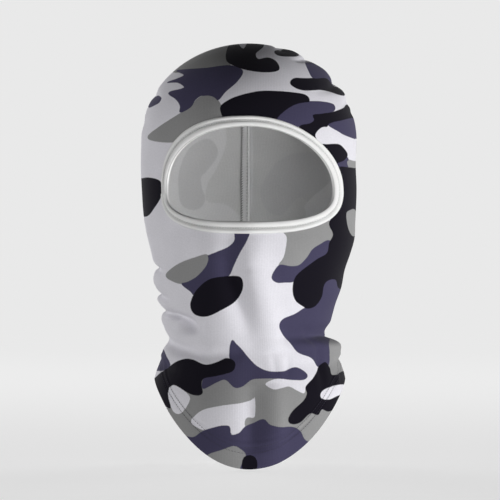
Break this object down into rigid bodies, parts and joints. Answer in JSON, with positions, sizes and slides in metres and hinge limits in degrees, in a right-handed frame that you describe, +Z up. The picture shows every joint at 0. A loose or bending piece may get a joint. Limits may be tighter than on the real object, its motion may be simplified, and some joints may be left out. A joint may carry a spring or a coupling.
{
  "type": "balaclava",
  "caption": "Close-fitting knit hood for the head and neck, with a bound oval face opening, a centre-back seam and a rounded bib with a cover-stitched hem.",
  "frame": {"origin": "on the inside of the cloth at the top of the crown, where the wearer's head touches it", "axes": "-Y the way the wearer faces, +X the wearer's left, +Z up"},
  "size_m": [0.1666, 0.2034, 0.3236],
  "materials": {
    "printed_knit": "matt printed stretch jersey",
    "white_binding": "soft white elastic tape",
    "binding_thread": "white sewing thread",
    "seam_thread": "grey sewing thread"
  },
  "bodies": {
    "root": {"hood_panel": "printed_knit", "seam_ply_left": "printed_knit", "seam_ply_right": "printed_knit", "seam_overlock_thread": "seam_thread", "seam_needle_thread": "seam_thread", "face_binding": "white_binding", "binding_needle_thread": "binding_thread", "binding_looper_thread": "binding_thread", "binding_end_tack": "binding_thread", "hem_turn": "printed_knit", "hem_needle_thread_upper": "seam_thread", "hem_needle_thread_lower": "seam_thread", "hem_looper_thread": "seam_thread"}
  },
  "joints": []
}
